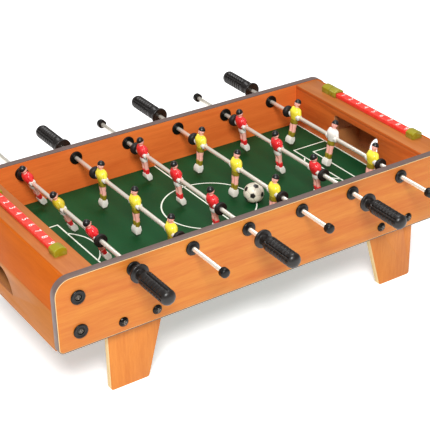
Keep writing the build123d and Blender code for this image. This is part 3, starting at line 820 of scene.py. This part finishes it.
def add_head(whole):
    join(whole, column([(12.4, 3.0, 3.0, 0), (15.6, 2.7, 2.8, 0.2)]), SKIN)
    head = egg((5.2, 4.9, 6.5), (0.3, 0, 21.2), 24, 16)
    for corner in head.verts:
        if corner.co.z < 19:
            corner.co.y *= 1 - 0.05 * (19 - corner.co.z)
            corner.co.x += 0.12 * (19 - corner.co.z)
    join(whole, head, SKIN)
    join(whole, egg((0.9, 0.7, 1.2), (5.4, 0, 19.6), 8, 6), SKIN)
    for side in (-1, 1):
        join(whole, egg((1.1, 0.6, 1.5), (0.2, side * 4.9, 19.8), 8, 6), SKIN)
        join(whole, egg((0.35, 0.75, 0.5), (5.1, side * 1.8, 20.9), 8, 6), EYES)
    join(whole, egg((0.4, 1.2, 0.35), (5.15, 0, 17.4), 8, 6), LIPS)
    hair = egg((5.7, 5.5, 6.7), (-0.2, 0, 21.5), 28, 18)
    everything = [*hair.verts, *hair.edges, *hair.faces]
    cut = bmesh.ops.bisect_plane(hair, geom=everything, plane_co=(0, 0, 22.0),
                                 plane_no=(0.14, 0, -0.99), clear_outer=True)["geom_cut"]
    bmesh.ops.contextual_create(hair, geom=[g for g in cut if isinstance(g, bmesh.types.BMEdge)])
    join(whole, hair, HAIR)


def add_arms(whole):
    """Arms bent at the elbow, with the hands closed round the rod."""
    for side in (-1, 1):
        upper = column([(-8.6, 2.4, 2.1, 0.3), (-6, 2.9, 2.5, 0.2), (-1, 2.9, 2.5, 0),
                        (1.5, 2.3, 2.0, 0), (2.4, 1.2, 1.2, 0)], 12)
        lean = Matrix.Translation((0, side * 8.0, 11.0)) @ Matrix.Rotation(side * radians(24), 4, "X")
        join(whole, upper, SHIRT, lean)
        lower = column([(-4.6, 1.9, 1.6, 0.4), (-1, 2.7, 2.2, 0.2), (2.6, 2.7, 2.2, 0)], 12)
        bend = Matrix.Translation((0.5, side * 10.7, 3.4)) @ Matrix.Rotation(side * radians(-16), 4, "X")
        join(whole, lower, SHIRT, bend)
        hand = column([(-4.2, 2.2, 1.3, 0), (-2.2, 3.6, 1.8, 0), (0.8, 3.9, 1.9, 0),
                       (2.6, 3.2, 1.7, 0), (4.0, 2.0, 1.3, 0)], 12)
        join(whole, hand, CUFFS, Matrix.Translation((0.3, side * 9.9, -0.8)))


def add_body(whole):
    join(whole, column([(-6.8, 4.3, 5.8, 0), (-5.8, 5.0, 6.6, 0), (-1, 6.2, 8.6, 0),
                        (3, 7.2, 10.0, 0.2), (6.5, 7.6, 10.6, 0.4), (9.4, 6.8, 9.9, 0.3),
                        (11.6, 5.6, 8.2, 0), (13.2, 4.2, 5.8, 0), (14.2, 3.0, 3.8, 0)], 20), SHIRT)
    neckline = column([(0, 0.5, 3.0, 0), (3.4, 0.9, 3.4, 0), (3.9, 0.4, 2.6, 0)], 12)
    for corner in neckline.verts:
        corner.co.y *= 0.25 + 0.2 * max(corner.co.z, 0)
    tip_back = Matrix.Translation((6.2, 0, 9.0)) @ Matrix.Rotation(radians(-42), 4, "Y")
    join(whole, neckline, SKIN, tip_back)
    waist = lathe([(-13, 3.25), (-13, 4.0), (-12.4, 4.6), (-11, 4.9), (11, 4.9), (12.4, 4.6),
                   (13, 4.0), (13, 3.25)], 28)
    join(whole, waist, CUFFS)
    join(whole, column([(-13.6, 4.4, 6.0, 0), (-13.0, 4.9, 6.7, 0), (-10, 5.0, 6.8, 0),
                        (-5, 4.9, 6.6, 0)], 20), SHORTS)


def add_legs(whole):
    for side in (-1, 1):
        shift = Matrix.Translation((0, side * 3.2, 0))
        join(whole, column([(-32, 2.6, 2.4, 0), (-27, 3.0, 2.7, -0.3), (-24, 3.3, 2.9, -0.4),
                            (-21, 3.0, 2.7, 0.1), (-18, 3.5, 3.0, 0.1), (-12, 4.1, 3.2, 0)], 14),
             SKIN, shift)
        join(whole, column([(-37, 3.1, 2.8, 0), (-33, 3.1, 2.8, 0), (-29.4, 3.5, 3.1, -0.2),
                            (-28, 3.6, 3.2, -0.2), (-27.4, 3.1, 2.8, -0.2)], 14), SOCKS, shift)
        boot = prism([(-3.8, -35.5), (3.5, -35.5), (4.8, -38.6), (5.6, -41.5), (4.9, -46.6),
                      (4.4, -47), (-1.3, -47), (-2.0, -46.6), (-4.4, -41.5)],
                     *sorted((0, side * 6.75)))
        for corner in boot.verts:
            if abs(corner.co.y) > 6 and corner.co.z > -37:
                corner.co.y *= 0.88
        ease_edges(boot, 0.5, 3, where=lambda edge: any(abs(end.co.y) > 0.1 for end in edge.verts))
        join(whole, boot, BOOTS)


def one_player():
    """A player about the rod's axis, standing upright and facing +X."""
    whole = bmesh.new()
    add_body(whole)
    add_arms(whole)
    add_head(whole)
    add_legs(whole)
    scrap = bpy.data.meshes.new("player")
    whole.to_mesh(scrap)
    whole.free()
    return scrap


def add_player(team, pattern, kit_start, at):
    shape = bmesh.new()
    shape.from_mesh(pattern)
    bmesh.ops.transform(shape, matrix=at, verts=shape.verts)
    for face in shape.faces:
        if face.material_index >= SHIRT:
            face.material_index += kit_start
    scrap = bpy.data.meshes.new("scrap")
    shape.to_mesh(scrap)
    shape.free()
    team.from_mesh(scrap)
    bpy.data.meshes.remove(scrap)


def make_players():
    pattern = one_player()
    for number in range(1, 7):
        low, high = span(f"rod_{number}_men")
        tube_low, tube_high = span(f"rod_{number}_tube")
        axis = (tube_low + tube_high) / 2
        heading = 0 if number % 2 else pi
        outer_kit = RED_KIT if number % 2 else YELLOW_KIT
        keeper_kit = {1: LEFT_KEEPER_KIT, 6: RIGHT_KEEPER_KIT}.get(number, outer_kit)
        team = bmesh.new()
        for step in (-1, 0, 1):
            spot = (axis.x, (low.y + high.y) / 2 + step * MAN_PITCH, axis.z)
            at = (Matrix.Translation(spot) @ Matrix.Rotation(-radians(FEET_TILT[number]), 4, "Y")
                  @ Matrix.Rotation(heading, 4, "Z"))
            add_player(team, pattern, 3 if step == 0 else 0, at)
        place(f"rod_{number}_players", team, [*COMMON_PAINTS, *outer_kit, *keeper_kit],
              f"rod_{number}", [f"rod_{number}_men"],
              45)
    bpy.data.meshes.remove(pattern)


# ---------------------------------------------------------------- rods
GRIP_BODY_START = 239.6
RING_PITCH = 1.3
RING_COUNT = 42
# degrees within each quarter turn
FLUTES_AT = (33, 57)
FLUTE_HALF = 5.5
FLUTE_DEPTH = 1.8
RIB_DEPTH = 1.5
GRIP_TURN = -12


def grip():
    """Handle along +Y: flange, neck and a body of four ribbed pads parted by twin flutes."""
    body_rings = [GRIP_BODY_START + RING_PITCH * ring for ring in range(RING_COUNT)]
    outline = [(221, 0), (221, 12.6), (221.4, 13.5), (222.2, 13.8), (223.8, 13.8), (224.6, 13.5),
               (225, 12.6), (225.1, 9.0), (225.8, 8.2), (227, 8.0), (232, 8.0), (234, 8.5),
               (236.5, 9.8), (238.4, 10.8)]
    outline += [(along, 11.0) for along in body_rings]
    outline += [(294.3, 10.7), (296.4, 9.8), (298.2, 8.0), (299.4, 5.6), (300, 3.0), (300, 0)]
    shape = lathe(outline, 96)
    for corner in shape.verts:
        along = corner.co.y
        if not 240 < along < 293:
            continue
        turn = degrees(atan2(corner.co.z, corner.co.x)) % 90
        flute = min(abs(turn - middle) for middle in FLUTES_AT)
        ring = round((along - GRIP_BODY_START) / RING_PITCH)
        trim = 0.0
        if flute < FLUTE_HALF:
            trim = FLUTE_DEPTH * cos(radians(flute / FLUTE_HALF * 80))
        elif not 38 < turn < 52 and 4 <= ring <= 37 and ring % 5 < 2:
            trim = RIB_DEPTH
        radius = (corner.co.x ** 2 + corner.co.z ** 2) ** 0.5
        corner.co.x *= 1 - trim / radius
        corner.co.z *= 1 - trim / radius
    return shape


def make_rods():
    for number in range(1, 7):
        low, high = span(f"rod_{number}_men")
        tube_low, tube_high = span(f"rod_{number}_tube")
        axis = (tube_low + tube_high) / 2
        middle = (low.y + high.y) / 2
        side = -1 if number % 2 else 1
        at = facing(axis.x, axis.z, side, middle)
        bar = bmesh.new()
        join(bar, lathe([(-230.5, 0), (-230.5, 3.0), (-230.2, 3.2), (289.2, 3.2), (289.5, 3.0),
                         (289.5, 0)], 40), 0, at)
        place(f"rod_{number}_bar", bar, [rod_metal], f"rod_{number}", [f"rod_{number}_tube"])
        handle = bmesh.new()
        turn = Matrix.Rotation(radians(GRIP_TURN - FEET_TILT[number]), 4, "Y")
        join(handle, grip(), 0, Matrix.Translation(at.translation) @ turn @ at.to_3x3().to_4x4())
        place(f"rod_{number}_grip", handle, [grip_plastic], f"rod_{number}",
              [f"rod_{number}_handle"], 50)
        cap = bmesh.new()
        join(cap, lathe([(230.6, 0), (230.6, 3.25), (225, 3.25), (225, 6.3), (225.3, 6.8),
                         (226, 7.0), (231.2, 7.0), (232.8, 6.7), (234, 5.8), (234.7, 4.3),
                         (235, 2.4), (235, 0)], 40), 0, facing(axis.x, axis.z, -side, middle))
        place(f"rod_{number}_tip", cap, [black_plastic], f"rod_{number}",
              [f"rod_{number}_end_cap"])
        stops = bmesh.new()
        for way in (-1, 1):
            disc = lathe([(113.5, 3.25), (113.5, 5.6), (113.7, 6.5), (114.6, 7.9), (115.7, 9.0),
                          (117.2, 9.65), (118.2, 9.7), (118.6, 9.3), (119.0, 9.7), (120.4, 9.7),
                          (121.1, 9.4), (121.5, 8.7), (121.5, 4.6), (121.1, 3.9), (121.1, 3.25)], 48)
            join(stops, disc, 0, facing(axis.x, axis.z, way, middle))
        place(f"rod_{number}_buffers", stops, [stop_rubber], f"rod_{number}_stops",
              [f"rod_{number}_bumpers"])


# ---------------------------------------------------------------- studio
def add_floor():
    shape = bmesh.new()
    bmesh.ops.create_grid(shape, x_segments=1, y_segments=1, size=60)
    bmesh.ops.translate(shape, verts=shape.verts, vec=(0, 0, -0.0005))
    mesh = bpy.data.meshes.new("floor")
    shape.to_mesh(mesh)
    shape.free()
    look = Finish("floor_paper")
    cloud = add_noise(look.tree, look.place, 3.0, 2.0)
    look.set(Base_Color=add_mix(look.tree, cloud, paint("#FFFFFF"), paint("#FCFBFA")), Roughness=0.9,
             Emission_Color=paint("#FFFFFF"), Emission_Strength=0.42)
    mesh.materials.append(look.material)
    floor = bpy.data.objects.new("floor", mesh)
    bpy.context.scene.collection.objects.link(floor)


def add_area(name, spot, target, size, power):
    lamp = bpy.data.lights.new(name, "AREA")
    lamp.shape = "DISK"
    lamp.size = size
    lamp.energy = power
    holder = bpy.data.objects.new(name, lamp)
    bpy.context.scene.collection.objects.link(holder)
    holder.location = spot
    holder.rotation_mode = "QUATERNION"
    holder.rotation_quaternion = (Vector(target) - Vector(spot)).to_track_quat("-Z", "Y")


def add_studio():
    add_floor()
    world = bpy.data.worlds.new("studio")
    world.use_nodes = True
    world.node_tree.nodes["Background"].inputs["Color"].default_value = (1, 1, 1, 1)
    world.node_tree.nodes["Background"].inputs["Strength"].default_value = 0.42
    bpy.context.scene.world = world
    add_area("key_light", (-1.1, -1.7, 2.1), (0, 0, 0.15), 0.9, 76)
    add_area("top_light", (0.4, 0.6, 2.4), (0, 0, 0.15), 1.2, 26)
    bpy.context.scene.view_settings.view_transform = "Standard"


make_side_panels()
make_ends()
make_legs()
make_field()
make_fasteners()
make_bushings()
make_scoring()
make_ball()
make_players()
make_rods()
add_studio()
